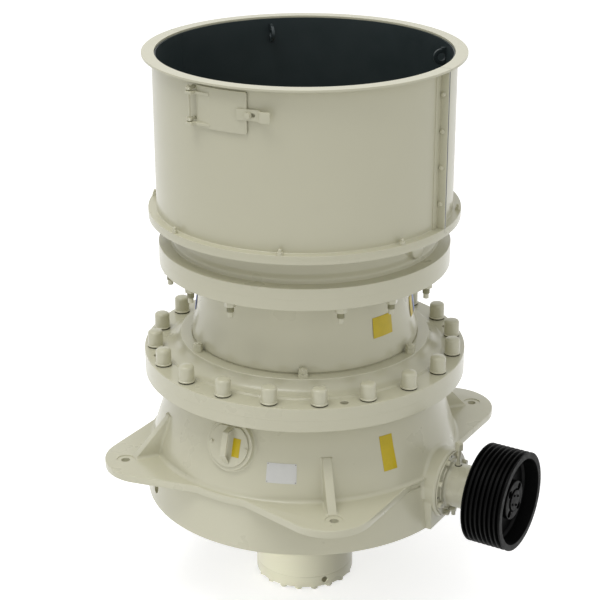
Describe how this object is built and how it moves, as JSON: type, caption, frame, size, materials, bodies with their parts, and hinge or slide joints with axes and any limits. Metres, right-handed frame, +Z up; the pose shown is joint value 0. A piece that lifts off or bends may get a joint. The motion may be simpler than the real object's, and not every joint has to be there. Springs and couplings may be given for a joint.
{
  "type": "cone crusher",
  "caption": "Single-cylinder cone crusher with a split feed hopper, hinged hopper hatch, spider ring, flanged shells, a four-cornered foundation plate and a belt-driven pinion.",
  "frame": {"origin": "centre of the foundation bolt pattern, on the crusher's upright axis, in the plane of the four bearing pads' faces under the mounting plate", "axes": "+Z up along the crusher's axis; +X along the pinion shaft, out towards the pulley; +Y across the drive"},
  "size_m": [2.284, 1.9638, 3.165],
  "materials": {
    "cream_paint": "gloss enamel over castings and plate",
    "dark_lining": "satin dark lining inside the hopper",
    "seal_rubber": "matt black seal",
    "manganese_casting": "bare manganese steel casting",
    "black_iron": "black painted cast iron",
    "bright_steel": "ground shaft steel",
    "stud_steel": "steel studs, part painted",
    "plain_nameplate": "plain pale metal plate with no lettering",
    "yellow_sheet": "plain yellow sheet with no lettering",
    "blue_sheet": "plain blue sheet with no lettering"
  },
  "bodies": {
    "root": {"hopper_wall_front": "cream_paint", "hopper_wall_back": "cream_paint", "hopper_rim_front": "cream_paint", "hopper_rim_back": "cream_paint", "hopper_foot_front": "cream_paint", "hopper_foot_back": "cream_paint", "hopper_seam_bars": "cream_paint", "hopper_lining_front": "dark_lining", "hopper_lining_back": "dark_lining", "hopper_lifting_lugs": "dark_lining", "hatch_hinge_lugs": "cream_paint", "hatch_hinge_pin": "cream_paint", "spider_ring": "cream_paint", "spider": "cream_paint", "spider_cap": "manganese_casting", "spider_arm_shields": "manganese_casting", "top_shell": "cream_paint", "collar_studs": "stud_steel", "concave_ring": "manganese_casting", "mantle": "manganese_casting", "head_and_shaft": "manganese_casting", "step_nuts": "cream_paint", "main_flange_caps": "cream_paint", "bottom_shell": "cream_paint", "lower_hub": "cream_paint", "pinion_tunnel": "cream_paint", "mounting_plate": "cream_paint", "plate_gussets": "cream_paint", "inspection_cover": "cream_paint", "inspection_handle": "cream_paint", "pinion_housing": "cream_paint", "housing_breather": "cream_paint", "housing_drain": "cream_paint", "hydraulic_cylinder": "cream_paint", "cylinder_cover": "cream_paint", "cylinder_bolts": "cream_paint", "nameplate": "plain_nameplate", "yellow_plates": "yellow_sheet", "blue_plates": "blue_sheet"},
    "hatch": {"hatch_door": "cream_paint", "hatch_seal": "seal_rubber", "hatch_strap": "cream_paint", "hatch_strap_bolt": "cream_paint"},
    "pulley": {"pinion_shaft": "bright_steel", "pulley": "black_iron", "pulley_bush": "black_iron"}
  },
  "joints": [
    {"name": "hatch_hinge", "type": "hinge", "parent": "root", "child": "hatch", "pos_m": [-0.17818, -0.83112, 2.165], "axis": [0, 0, -1], "range_deg": [0, 120]},
    {"name": "pulley_spin", "type": "hinge", "parent": "root", "child": "pulley", "pos_m": [1.2548, 0, -0.038], "axis": [1, 0, 0], "continuous": true}
  ]
}
